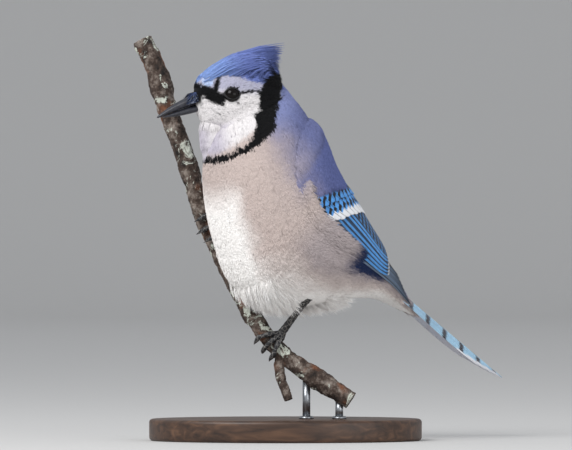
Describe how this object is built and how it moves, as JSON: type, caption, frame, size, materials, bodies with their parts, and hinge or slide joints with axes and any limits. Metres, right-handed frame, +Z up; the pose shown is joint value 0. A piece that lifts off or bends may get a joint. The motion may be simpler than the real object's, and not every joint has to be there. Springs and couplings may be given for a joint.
{
  "type": "blue jay model",
  "caption": "Life-size blue jay with raised crest, barred blue wings and long tail, gripping a cut branch on a plain stand.",
  "frame": {"origin": "centre of the flat underside of the base", "axes": "+Z up, +X from the bill towards the tail as seen from the viewer's side, +Y away from the viewer"},
  "size_m": [0.2065, 0.1275, 0.2237],
  "materials": {
    "grey_plumage": "soft matte feathers, grey to white",
    "blue_plumage": "soft satin feathers, violet blue",
    "tail_plumage": "satin flight feathers, light blue with black bars",
    "horn": "dark slate horn, satin",
    "eye_gloss": "wet glossy dark brown",
    "bark": "rough flaking bark with pale lichen",
    "dark_wood": "dark stained wood, satin varnish",
    "steel": "plain brushed rod"
  },
  "bodies": {
    "root": {"torso": "grey_plumage", "neck": "grey_plumage", "head": "blue_plumage", "eye_left": "eye_gloss", "eye_right": "eye_gloss", "bill_upper": "horn", "bill_lower": "horn", "wing_left": "blue_plumage", "wing_right": "blue_plumage", "tail": "tail_plumage", "leg_left": "horn", "leg_right": "horn", "foot_left": "horn", "foot_right": "horn", "perch_branch": "bark", "stand_base": "dark_wood", "stand_rod_1": "steel", "stand_rod_2": "steel"}
  },
  "joints": []
}
